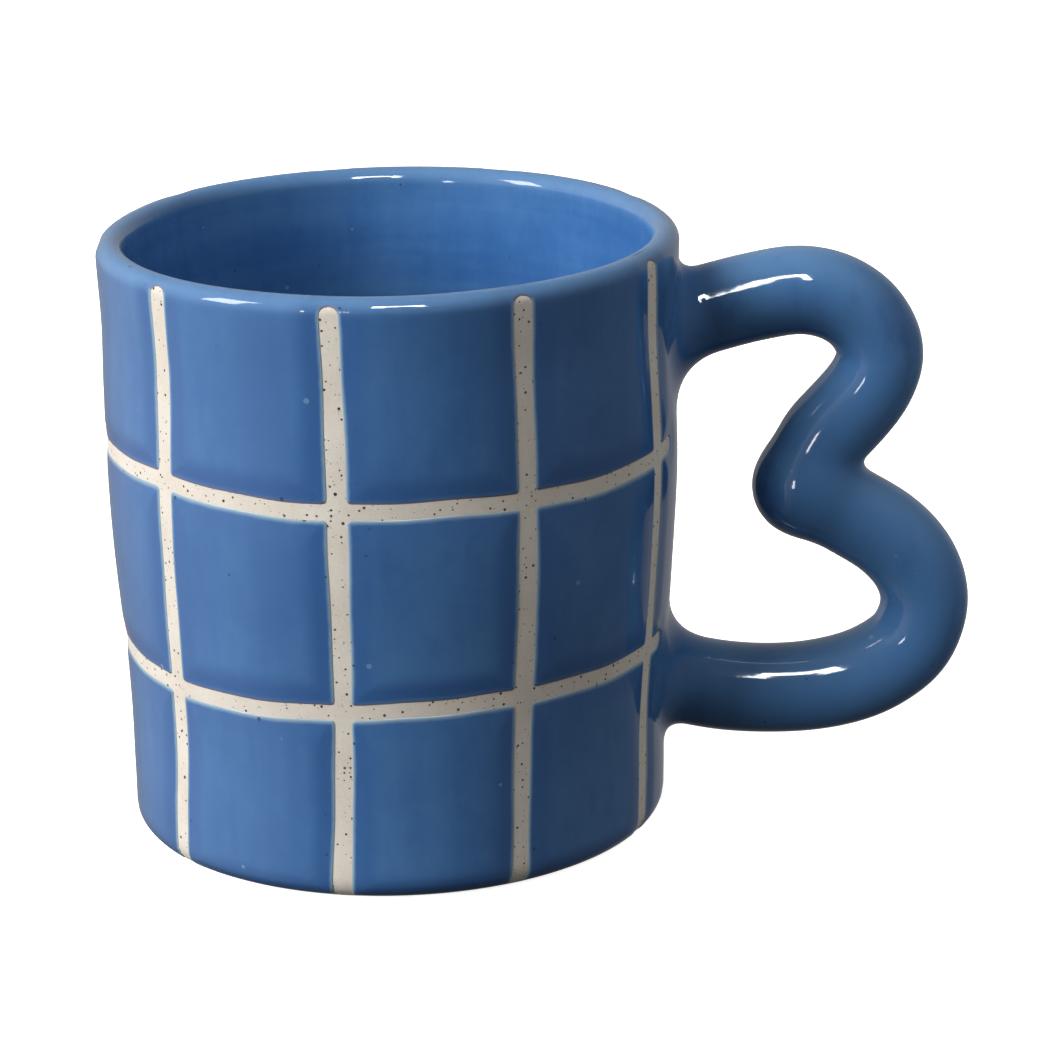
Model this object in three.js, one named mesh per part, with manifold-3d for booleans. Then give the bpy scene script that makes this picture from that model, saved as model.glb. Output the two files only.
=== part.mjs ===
// A stoneware mug: a thrown clay cup, one clay coil bent into a handle of two bows, the slip that bonds
// the coil to the wall, and the glaze films that lie on them, parted by a grid of bare clay lines.
//
// Millimetres, +Z up. The origin is the centre of the flat foot, and the handle points along +X.

import * as THREE from "three";
import { mergeVertices } from "three/addons/utils/BufferGeometryUtils.js";
import Module from "manifold-3d";

const wasm = await Module();
wasm.setup();

// ---- Cup, in clay ----
const clayHeight = 91.5; // foot to the crest of the lip
const footRadius = 40.4; // outside, below the shoulder
const bellyRadius = 43; // outside, above the shoulder
const shoulderLow = 14; // height where the wall starts to widen
const shoulderHigh = 60; // height where the wall has its full width
const lipFlare = 0.6; // how far the lip leans out past the belly
const lipFlareDepth = 14; // below the crest, where the lip starts to lean out
const lipThickness = 3.4;
const wallThickness = 4.6;
const thinningDepth = 30; // below the crest, where the wall starts to thin towards the lip
const floorThickness = 6;
const footRound = 3.5; // rounding under the outer edge of the foot
const floorRound = 8; // rounding between the wall and the floor, inside

// ---- Glaze ----
const glazeThickness = 0.5;
const bondGap = 0.1; // between a film and what it lies on
const seamGap = 0.3; // between two films that meet edge to edge
const glazeFootAngle = THREE.MathUtils.degToRad(52); // bare part of the foot rounding, from straight down

// ---- Bare clay lines ----
const lineWidth = 2.8;
const upperLineHeight = 61;
const lowerLineHeight = 30;
const uprightTop = 1.5; // below the crest of the lip, where the upright lines end
const panelsAround = 8;
const handleStrip = THREE.MathUtils.degToRad(50); // between the two upright lines beside the handle
const lineOverrun = 6; // how far the ring lines run on into the handle strip

// ---- Handle coil ----
const coilRadius = 6.3;
const slipLayer = 0.6; // slip between the end of the coil and the wall
const slipFillet = 3.2; // slip wiped round the coil, along it and along the wall
const slipEdge = 0.5; // thickness of the slip where the fillet runs out on the coil
const coilEmbed = 4; // length of coil on each side of the wall that stays straight
const upperJointDepth = 14.8; // below the crest of the lip
const upperJointRise = THREE.MathUtils.degToRad(17); // the coil climbs as it leaves the wall
const lowerJointHeight = 20;
const lowerJointDip = THREE.MathUtils.degToRad(11); // and dips as it leaves the wall lower down
const waistReach = 19.2; // from the belly of the cup to where the two bows are pressed together
const waistSwell = 0.8; // how much thicker the coil is pressed there, all round
const waistShare = 0.53; // height of the waist, as a share of the way from the lower joint to the upper
// Centre of the coil, from the waist to a joint: millimetres out from the belly, and the share of the
// height between the waist and that joint.
const upperBow = [
  [21.7, 0.14],
  [27.1, 0.41],
  [31.2, 0.76],
  [28, 1.045],
  [18.8, 1.145],
  [12, 1.115],
];
const lowerBow = [
  [26.4, 0.14],
  [33.9, 0.28],
  [38.8, 0.61],
  [36, 0.87],
  [29.2, 1.025],
  [22, 1.08],
  [15, 1.095],
];

// ---- Fineness of the facets ----
const roundFacets = 40; // round the cup
const wallRows = 6; // up the wall
const arcSteps = 3; // along each rounding
const coilSides = 12;
const coilStep = 4; // along the coil
const collarSides = 20; // round each slip joint, and round the waist
const reach = 120; // long enough to cut right through the cup and its handle

const clayColour = 0xcfc6ba;
const glazeColour = 0x3f6ea8;

// ---------------------------------------------------------------- solids and meshes

// A closed geometry as a solid that can be joined and cut.
function solidOf(geometry) {
  geometry.deleteAttribute("normal");
  geometry.deleteAttribute("uv");
  const merged = mergeVertices(geometry, 1e-3);
  return new wasm.Manifold(
    new wasm.Mesh({
      numProp: 3,
      vertProperties: merged.attributes.position.array,
      triVerts: new Uint32Array(merged.index.array),
    }),
  );
}

// A named mesh of one solid.
function piece(name, solid, material) {
  const { vertProperties, triVerts } = solid.getMesh();
  const geometry = new THREE.BufferGeometry();
  geometry.setAttribute("position", new THREE.BufferAttribute(vertProperties, 3));
  geometry.setIndex(new THREE.BufferAttribute(triVerts, 1));
  geometry.computeVertexNormals();
  const mesh = new THREE.Mesh(geometry, material);
  mesh.name = name;
  return mesh;
}

// A solid of revolution about Z from [radius, height] points that start and end on the axis or close.
function revolved(points) {
  const geometry = new THREE.LatheGeometry(
    points.map(([radius, height]) => new THREE.Vector2(radius, height)),
    roundFacets,
  );
  return solidOf(geometry.rotateX(Math.PI / 2));
}

// A wedge of a disc about Z, from one angle and height to another.
function sector(fromAngle, toAngle, low, high) {
  const corners = 12;
  const outline = [new THREE.Vector2(0, 0)];
  for (let i = 0; i <= corners; i++) {
    const angle = fromAngle + ((toAngle - fromAngle) * i) / corners;
    outline.push(new THREE.Vector2(reach * Math.cos(angle), reach * Math.sin(angle)));
  }
  const geometry = new THREE.ExtrudeGeometry(new THREE.Shape(outline), {
    depth: high - low,
    bevelEnabled: false,
  });
  return solidOf(geometry.translate(0, 0, low));
}

// Points along an arc, from one angle to another.
function arc(centreRadius, centreHeight, size, fromAngle, toAngle) {
  return Array.from({ length: arcSteps + 1 }, (_, i) => {
    const angle = fromAngle + ((toAngle - fromAngle) * i) / arcSteps;
    return [centreRadius + size * Math.cos(angle), centreHeight + size * Math.sin(angle)];
  });
}

// ---------------------------------------------------------------- the cup's outline

const lipRound = lipThickness / 2; // the lip is a half round
const lipCentreHeight = clayHeight - lipRound;
const outsideAt = (height) =>
  footRadius +
  (bellyRadius - footRadius) * THREE.MathUtils.smoothstep(height, shoulderLow, shoulderHigh) +
  lipFlare * THREE.MathUtils.smoothstep(height, clayHeight - lipFlareDepth, clayHeight);
const insideAt = (height) =>
  outsideAt(height) -
  THREE.MathUtils.lerp(
    wallThickness,
    lipThickness,
    THREE.MathUtils.smoothstep(height, clayHeight - thinningDepth, lipCentreHeight),
  );
const lipCentreRadius = outsideAt(lipCentreHeight) - lipRound;

// Heights of the rows up a stretch of wall, without its two ends.
const rows = (low, high) =>
  Array.from({ length: wallRows - 1 }, (_, i) => low + ((high - low) * (i + 1)) / wallRows);

// The wall and the lip, from above the foot's rounding to an angle round the lip, grown by a film.
const wallAndLip = (film, lipAngle) => [
  ...rows(footRound, lipCentreHeight).map((height) => [outsideAt(height) + film, height]),
  ...arc(lipCentreRadius, lipCentreHeight, lipRound + film, 0, lipAngle),
];

// The outside, from an angle round the foot's edge to an angle round the lip, grown by a film.
function outside(film, footAngle, lipAngle) {
  const footCentre = outsideAt(footRound) - footRound;
  return [
    ...arc(footCentre, footRound, footRound + film, footAngle - Math.PI / 2, 0),
    ...wallAndLip(film, lipAngle),
  ];
}

// The inside, from an angle round the lip to the middle of the floor, covered by a film.
function inside(film, lipAngle) {
  const floorEdge = floorThickness + floorRound;
  const floorCentre = insideAt(floorEdge) - floorRound;
  return [
    ...arc(lipCentreRadius, lipCentreHeight, lipRound + film, lipAngle, Math.PI),
    ...rows(floorEdge, lipCentreHeight)
      .reverse()
      .map((height) => [insideAt(height) - film, height]),
    ...arc(floorCentre, floorEdge, floorRound - film, 0, -Math.PI / 2),
    [0, floorThickness + film],
  ];
}

const crest = Math.PI / 2;
const crestSeam = seamGap / 2 / (lipRound + bondGap); // half the seam between the two films, as an angle

const cup = revolved([[0, 0], ...outside(0, 0, crest), ...inside(0, crest).slice(1)]);
const liner = revolved([
  ...inside(bondGap, crest + crestSeam).reverse(),
  ...inside(glazeThickness, crest + crestSeam),
]);
const outerFilm = revolved([
  ...outside(glazeThickness, glazeFootAngle, crest - crestSeam),
  ...outside(bondGap, glazeFootAngle, crest - crestSeam).reverse(),
  outside(glazeThickness, glazeFootAngle, crest)[0],
]);

// The cup without its hollow, grown by a film: what the coil, slip and handle glaze stop against.
const core = (film) =>
  revolved([
    [0, -reach],
    [footRadius + film, -reach],
    [outsideAt(footRound) + film, footRound],
    ...wallAndLip(film, crest),
    [0, clayHeight + film],
  ]);

// ---------------------------------------------------------------- the handle

const upperJointHeight = clayHeight - upperJointDepth;
const waist = new THREE.Vector3(
  bellyRadius + waistReach,
  0,
  THREE.MathUtils.lerp(lowerJointHeight, upperJointHeight, waistShare),
);

// Where an end of the coil meets the wall, and which way it leaves.
const joint = (height, climb) => ({
  foot: new THREE.Vector3(outsideAt(height), 0, height),
  along: new THREE.Vector3(Math.cos(climb), 0, Math.sin(climb)),
});
const upperJoint = joint(upperJointHeight, upperJointRise);
const lowerJoint = joint(lowerJointHeight, -lowerJointDip);

// The coil's centre line, from the waist over one bow to inside the wall.
function bowPath(bow, { foot, along }) {
  return new THREE.CatmullRomCurve3(
    [
      waist,
      ...bow.map(
        ([out, share]) =>
          new THREE.Vector3(bellyRadius + out, 0, THREE.MathUtils.lerp(waist.z, foot.z, share)),
      ),
      foot.clone().addScaledVector(along, coilEmbed),
      foot.clone().addScaledVector(along, -coilEmbed),
    ],
    false,
    "centripetal",
  );
}

// A round bar along a centre line.
function bar(path, radius) {
  const section = Array.from({ length: coilSides }, (_, i) => {
    const angle = (2 * Math.PI * i) / coilSides;
    return new THREE.Vector2(radius * Math.cos(angle), radius * Math.sin(angle));
  });
  return solidOf(
    new THREE.ExtrudeGeometry(new THREE.Shape(section), {
      extrudePath: path,
      steps: Math.round(path.getLength() / coilStep),
      bevelEnabled: false,
    }),
  );
}

// Both bows and the round of the waist, grown by a film.
function coil(film) {
  const knuckle = new THREE.SphereGeometry(coilRadius + waistSwell + film, collarSides, collarSides / 2);
  return solidOf(knuckle.rotateX(Math.PI / 2).translate(waist.x, waist.y, waist.z))
    .add(bar(bowPath(upperBow, upperJoint), coilRadius + film))
    .add(bar(bowPath(lowerBow, lowerJoint), coilRadius + film));
}

// The slip round one end of the coil, solid to its middle and grown by a film.
function collar({ foot, along }, film) {
  const runOut = coilRadius + slipEdge;
  const skirt = runOut + slipFillet + slipEdge + film;
  const sleeve = slipFillet + slipEdge + film;
  const geometry = new THREE.LatheGeometry(
    [
      [0, -coilEmbed],
      [skirt, -coilEmbed],
      [skirt, film],
      ...arc(runOut + slipFillet, slipFillet, slipFillet - film, -Math.PI / 2, -Math.PI),
      [runOut + film, sleeve],
      [0, sleeve],
    ].map(([radius, height]) => new THREE.Vector2(radius, height)),
    collarSides,
  );
  geometry.applyQuaternion(new THREE.Quaternion().setFromUnitVectors(new THREE.Vector3(0, 1, 0), along));
  return solidOf(geometry.translate(foot.x, foot.y, foot.z));
}

const handle = (film) => coil(film).add(collar(upperJoint, film)).add(collar(lowerJoint, film));
const coilEnd = core(bondGap + slipLayer + bondGap);
const slip = (end) =>
  collar(end, 0)
    .subtract(core(bondGap))
    .subtract(coil(bondGap).subtract(core(bondGap + slipLayer)));
const handleFilm = handle(glazeThickness).subtract(handle(bondGap)).subtract(core(bondGap));

// ---------------------------------------------------------------- panels of glaze

const firstUpright = handleStrip / 2;
const panelAngle = (2 * Math.PI - handleStrip) / panelsAround;
const uprightAt = (i) => firstUpright + i * panelAngle;
const overrunAngle = lineOverrun / bellyRadius;
const lineTop = (height) => height + lineWidth / 2;
const lineBottom = (height) => height - lineWidth / 2;

// One upright line, as a plate that cuts right through the wall.
function upright(angle) {
  const top = clayHeight - uprightTop;
  const plate = new THREE.BoxGeometry(reach, lineWidth, top + reach);
  return solidOf(plate.translate(reach / 2, 0, top - (top + reach) / 2).rotateZ(angle));
}

const uprights = Array.from({ length: panelsAround + 1 }, (_, i) => upright(uprightAt(i)));
const withoutUprights = uprights.reduce((film, line) => film.subtract(line), outerFilm);

// The end of a ring line inside the handle strip, on both sides of the handle.
const overruns = [upperLineHeight, lowerLineHeight].flatMap((height) => [
  sector(firstUpright - overrunAngle, firstUpright, lineBottom(height), lineTop(height)),
  sector(-firstUpright, overrunAngle - firstUpright, lineBottom(height), lineTop(height)),
]);

const rimFilm = [
  sector(uprightAt(0), uprightAt(panelsAround), -reach, lineTop(upperLineHeight)),
  ...overruns,
  handle(glazeThickness + seamGap),
].reduce((film, cut) => film.subtract(cut), withoutUprights);

const panel = (i, low, high) =>
  withoutUprights.intersect(sector(uprightAt(i), uprightAt(i + 1), low, high));

// ---------------------------------------------------------------- the assembly

const clay = new THREE.MeshStandardMaterial({ color: clayColour, roughness: 0.85, metalness: 0 });
const glaze = new THREE.MeshStandardMaterial({ color: glazeColour, roughness: 0.12, metalness: 0 });

const mug = new THREE.Group();
mug.add(piece("clay_body", cup, clay));
mug.add(piece("handle_coil", coil(0).subtract(coilEnd), clay));
mug.add(piece("upper_slip_joint", slip(upperJoint), clay));
mug.add(piece("lower_slip_joint", slip(lowerJoint), clay));
mug.add(piece("liner_glaze", liner, glaze));
mug.add(piece("rim_glaze", rimFilm, glaze));
mug.add(piece("handle_glaze", handleFilm, glaze));
for (let i = 0; i < panelsAround; i++) {
  const middle = panel(i, lineTop(lowerLineHeight), lineBottom(upperLineHeight));
  const lower = panel(i, -reach, lineBottom(lowerLineHeight));
  mug.add(piece(`middle_panel_${i + 1}`, middle, glaze));
  mug.add(piece(`lower_panel_${i + 1}`, lower, glaze));
}

export default mug;
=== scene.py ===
"""Looks of a stoneware mug: a thrown cup with a handle of two bows, glazed blue between bare clay lines.

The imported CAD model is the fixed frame. The clay cup, the glaze films and the glazed handle are modelled
again here with the irregular touch of handwork, and each stands for its CAD node. Lengths are worked out
in millimetres and written to the meshes in metres.
"""

import logging
import math
from collections.abc import Callable
from dataclasses import dataclass
from enum import Enum
from functools import cached_property

import bpy
import numpy as np
from mathutils import Matrix, Vector

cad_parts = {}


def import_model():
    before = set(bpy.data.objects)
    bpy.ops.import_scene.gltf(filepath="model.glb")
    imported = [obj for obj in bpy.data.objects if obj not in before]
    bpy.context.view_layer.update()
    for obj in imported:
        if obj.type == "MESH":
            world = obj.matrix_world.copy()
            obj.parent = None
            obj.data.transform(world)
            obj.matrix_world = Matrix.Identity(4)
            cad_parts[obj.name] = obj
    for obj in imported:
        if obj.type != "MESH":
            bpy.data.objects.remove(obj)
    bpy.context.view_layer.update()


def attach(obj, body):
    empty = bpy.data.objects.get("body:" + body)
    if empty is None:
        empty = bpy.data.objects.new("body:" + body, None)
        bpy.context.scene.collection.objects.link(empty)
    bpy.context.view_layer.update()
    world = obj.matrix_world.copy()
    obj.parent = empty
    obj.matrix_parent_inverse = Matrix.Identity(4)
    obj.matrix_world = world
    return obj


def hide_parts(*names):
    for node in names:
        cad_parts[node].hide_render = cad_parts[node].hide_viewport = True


MM = 0.001
TURN = 2 * math.pi
FAR_FROM_EDGE = 9.0  # written to the edge attribute where a film has no edge near, in mm

log = logging.getLogger("mug")

Piece = bpy.types.Object
Array = np.ndarray
Field = Array | float
Tint = tuple[float, float, float]
Waves = tuple[tuple[float, float, float, float], ...]  # each one's height, turns, slope and start


# ---------------------------------------------------------------- small helpers


def smooth(x: Field) -> Array:
    """Eases from 0 to 1 as x goes from 0 to 1."""
    t = np.clip(x, 0.0, 1.0)
    return t * t * (3 - 2 * t)


def round_min(first: Array, second: Array, corner: float) -> Array:
    """Smaller of two distances to edges, with the corner between the edges rounded.

    Args:
        first: Distance to one edge.
        second: Distance to the other edge.
        corner: Radius of the rounding.

    Returns:
        The distance to the rounded outline.
    """
    inside = np.maximum(np.minimum(first, second) - corner, 0)
    return inside + corner - np.hypot(np.maximum(corner - first, 0), np.maximum(corner - second, 0))


def soft_min(first: Array, second: Array, blend: Field) -> Array:
    """Smaller of two distances, blended over a width so that the solids flow into each other."""
    overlap = np.maximum(blend - np.abs(first - second), 0) / blend
    return np.minimum(first, second) - overlap * overlap * blend / 4


def ripple(waves: Waves, around: Field, along: Field) -> Field:
    """Sum of waves that run round and along a wall.

    Args:
        waves: For each wave its height, turns, slope and start.
        around: Place round the wall.
        along: Place along it.

    Returns:
        The height of the waves there.
    """
    return sum(size * np.sin(turns * around + slope * along + start) for size, turns, slope, start in waves)


def spaced(low: float, high: float, step: float) -> list[float]:
    """Evenly spaced places from low to high, both ends included, about a step apart."""
    count = max(1, round((high - low) / step))
    return [low + (high - low) * i / count for i in range(count + 1)]


def deselect() -> None:
    """Leaves every object unselected and in object mode."""
    if bpy.context.object and bpy.context.object.mode != "OBJECT":
        bpy.ops.object.mode_set(mode="OBJECT")
    bpy.ops.object.select_all(action="DESELECT")


def activate(piece: Piece) -> None:
    """Makes a piece the only one that operators act on.

    Args:
        piece: The piece.
    """
    deselect()
    piece.select_set(True)
    bpy.context.view_layer.objects.active = piece


def edit_whole(piece: Piece) -> None:
    """Goes into edit mode with all of a piece selected.

    Args:
        piece: The piece.
    """
    activate(piece)
    bpy.ops.object.mode_set(mode="EDIT")
    bpy.ops.mesh.select_all(action="SELECT")


def delete_chosen(piece: Piece, kind: str, chosen: Array, extent: str) -> None:
    """Deletes some edges or faces of a piece.

    Args:
        piece: The piece.
        kind: EDGE or FACE.
        chosen: Whether each of them goes, in the mesh's order.
        extent: What goes with them, in the operator's own word.
    """
    activate(piece)
    bpy.context.tool_settings.mesh_select_mode = (False, kind == "EDGE", kind == "FACE")
    mesh = piece.data
    for parts in (mesh.vertices, mesh.edges, mesh.polygons):
        parts.foreach_set("select", np.zeros(len(parts), bool))
    (mesh.edges if kind == "EDGE" else mesh.polygons).foreach_set("select", np.asarray(chosen, bool))
    bpy.ops.object.mode_set(mode="EDIT")
    bpy.ops.mesh.delete(type=extent)
    bpy.ops.object.mode_set(mode="OBJECT")
    bpy.context.tool_settings.mesh_select_mode = (True, False, False)


def vertex_places(piece: Piece) -> Array:
    """Reads where a piece's vertices are.

    Args:
        piece: The piece.

    Returns:
        Their places, one row each.
    """
    places = np.empty(len(piece.data.vertices) * 3)
    piece.data.vertices.foreach_get("co", places)
    return places.reshape(-1, 3)


def move_vertices(piece: Piece, places: Array) -> None:
    """Puts a mesh's vertices at places in metres."""
    piece.data.vertices.foreach_set("co", places.astype(np.float32).ravel())
    piece.data.update()


def open_ends(piece: Piece, column: Array, last: int) -> None:
    """Deletes the walls where a film that goes all the way round meets itself.

    Args:
        piece: The film, all in four-cornered faces.
        column: Column of each vertex.
        last: The last column.
    """
    corners = np.empty(len(piece.data.loops), int)
    piece.data.loops.foreach_get("vertex_index", corners)
    columns = column[corners].reshape(-1, 4)
    delete_chosen(piece, "FACE", (columns == 0).all(1) | (columns == last).all(1), "ONLY_FACE")


def paint(piece: Piece, name: str, values: Array) -> None:
    """Writes one number per vertex to an attribute that a material reads."""
    layer = piece.data.attributes.new(name, "FLOAT", "POINT")
    layer.data.foreach_set("value", values.astype(np.float32))


def paint_film(piece: Piece, edge: Field, edge_below: Field, thin: Field, away: Field = 0.0) -> None:
    """Writes what the glaze's material reads.

    Args:
        piece: A film.
        edge: Distance over the glaze to its edge, in mm.
        edge_below: 1 at a film's lower edge, -1 at its upper edge; the material uses it to pool the glaze
            and to paint light and shade along the edges.
        thin: How much paler the glaze is painted, from 0 to 1: where it has run thin, and on the handle's
            upward faces also as painted light from above.
        away: 1 on the coil and 0 on the cup.
    """
    count = len(piece.data.vertices)
    for name, values in (("edge", edge), ("edge_below", edge_below), ("thin", thin), ("away", away)):
        paint(piece, name, np.broadcast_to(np.asarray(values, float), count).copy())


def weld(piece: Piece, distance: float = 2e-7) -> None:
    """Merges vertices that lie on each other and turns every face outwards.

    Args:
        piece: A closed mesh.
        distance: How close two vertices are when they are one, in metres.
    """
    edit_whole(piece)
    bpy.ops.mesh.remove_doubles(threshold=distance)
    bpy.ops.mesh.delete_loose()
    bpy.ops.mesh.select_all(action="SELECT")
    bpy.ops.mesh.normals_make_consistent(inside=False)
    bpy.ops.object.mode_set(mode="OBJECT")
    bpy.ops.object.shade_smooth()
    deselect()


# ---------------------------------------------------------------- the cup's shape


@dataclass(frozen=True)
class CupShape:
    """Outline of the glazed cup and the irregularities of the hand-made wall, in mm."""

    height: float = 92.0
    foot_radius: float = 40.9
    belly_radius: float = 43.5
    shoulder_low: float = 14.0
    shoulder_high: float = 60.0
    lip_flare: float = 0.6
    lip_flare_depth: float = 14.5
    lip_round: float = 2.2
    wall: float = 5.0
    lip_wall: float = 3.8
    thinning_depth: float = 30.5
    film: float = 0.3
    foot_round: float = 3.5
    bare_foot_angle: float = 38.0
    floor_height: float = 6.5
    floor_round: float = 7.5
    lean: float = 0.48
    oval: float = 0.0103
    still_foot: float = 12.0  # up to this height the wall's undulation fades in
    still_floor: float = 10.0  # and out to this radius
    waves: Waves = (
        (0.13, 2, 0.045, 0.6),
        (0.10, 5, -0.060, 2.1),
        (0.06, 8, 0.110, 4.0),
        (0.05, 3, 0.230, 1.2),
    )

    @property
    def lip_height(self) -> float:
        """Height of the middle of the lip's half round."""
        return self.height - self.lip_round

    def outer(self, z: Field) -> Array:
        """Finds the glazed outside radius.

        Args:
            z: Heights.

        Returns:
            The radii there.
        """
        z = np.asarray(z)
        belly = smooth((z - self.shoulder_low) / (self.shoulder_high - self.shoulder_low))
        flare = smooth((z - self.height + self.lip_flare_depth) / self.lip_flare_depth)
        return self.foot_radius + (self.belly_radius - self.foot_radius) * belly + self.lip_flare * flare

    def inner(self, z: Field) -> Array:
        """Finds the glazed inside radius.

        Args:
            z: Heights.

        Returns:
            The radii there.
        """
        low = self.height - self.thinning_depth
        thin = smooth((np.asarray(z) - low) / (self.lip_height - low))
        return self.outer(z) - 2 * self.film - self.wall - (self.lip_wall - self.wall) * thin

    def undulation(self, theta: Array, z: Array) -> Array:
        """How far the thrown wall stands out of true, in and out."""
        return ripple(self.waves, theta, z) * smooth(z / self.still_foot)

    def place(self, theta: Array, radius: Array, z: Array) -> Array:
        """Puts points on the hand-made wall, with its undulation, lean and slightly oval mouth.

        Args:
            theta: Angles round the cup's axis, from the handle.
            radius: Distances from the axis.
            z: Heights.

        Returns:
            The points in metres.
        """
        reach = radius + self.undulation(theta, z) * smooth(radius / self.still_floor)
        share = z / self.height
        x = reach * np.cos(theta) * (1 - self.oval * share**2) + self.lean * share
        y = reach * np.sin(theta) * (1 + self.oval * share**2)
        return np.stack([x, y, z], -1) * MM

    def wall_distance(self, points: Array) -> Array:
        """Measures how far points are from the glazed wall.

        Args:
            points: The points in mm.

        Returns:
            The distances, negative inside the cup.
        """
        x, y, z = points[..., 0], points[..., 1], points[..., 2]
        share = z / self.height
        x = (x - self.lean * share) / (1 - self.oval * share**2)
        y = y / (1 + self.oval * share**2)
        return np.hypot(x, y) - self.outer(z) - self.undulation(np.arctan2(y, x), z)


class Outline:
    """The glazed skin from the foot's edge, up the outside, over the lip and down to the floor's middle."""

    step = 0.1  # between two of its points

    def __init__(self, cup: CupShape) -> None:
        """Walks along the skin.

        Args:
            cup: The cup's sizes.
        """
        foot_middle = float(cup.outer(cup.foot_round)) - cup.foot_round - cup.film
        lip_middle = float(cup.outer(cup.lip_height)) - cup.lip_round
        corner_height = cup.floor_height + cup.floor_round
        corner_middle = float(cup.inner(corner_height)) - cup.floor_round
        bare = math.radians(cup.bare_foot_angle - 90)
        outside = np.array(spaced(cup.foot_round, cup.lip_height, self.step)[1:-1])
        inside = outside[::-1][outside[::-1] > corner_height]
        runs = [
            self.arc(foot_middle, cup.foot_round, cup.foot_round + cup.film, bare, 0),
            np.stack([cup.outer(outside), outside], -1),
            self.arc(lip_middle, cup.lip_height, cup.lip_round, 0, math.pi),
            np.stack([cup.inner(inside), inside], -1),
            self.arc(corner_middle, corner_height, cup.floor_round, 0, -math.pi / 2),
            np.array([[radius, cup.floor_height] for radius in spaced(0, corner_middle, self.step)[-2::-1]]),
        ]
        self.skin = np.concatenate(runs)
        along = np.gradient(self.skin, axis=0)
        along /= np.linalg.norm(along, axis=1)[:, None]
        self.normal = np.stack([along[:, 1], -along[:, 0]], -1)
        self.run = np.concatenate([[0], np.cumsum(np.linalg.norm(np.diff(self.skin, axis=0), axis=1))])
        self.outer_count = len(runs[0]) + len(runs[1]) + len(runs[2]) // 2
        self.crest = float(self.run[self.outer_count])

    @classmethod
    def arc(cls, radius: float, height: float, size: float, start: float, end: float) -> Array:
        """Points along an arc of the outline."""
        angles = np.array(spaced(0, 1, cls.step / size)) * (end - start) + start
        return np.stack([radius + size * np.cos(angles), height + size * np.sin(angles)], -1)

    def run_at(self, z: float) -> float:
        """Length along the skin, from the foot's edge, to a height on the outside."""
        return float(np.interp(z, self.skin[: self.outer_count, 1], self.run[: self.outer_count]))

    def at(self, run: Array, depth: Field) -> tuple[Array, Array]:
        """Radius and height of points at a length along the skin and a depth below it.

        Args:
            run: Length along the skin.
            depth: How far below the skin.

        Returns:
            The radii and the heights.
        """
        radius, z = (np.interp(run, self.run, self.skin[:, i]) for i in range(2))
        across, up = (np.interp(run, self.run, self.normal[:, i]) for i in range(2))
        return radius - depth * across, z - depth * up


# ---------------------------------------------------------------- the lines that resist the glaze


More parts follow.
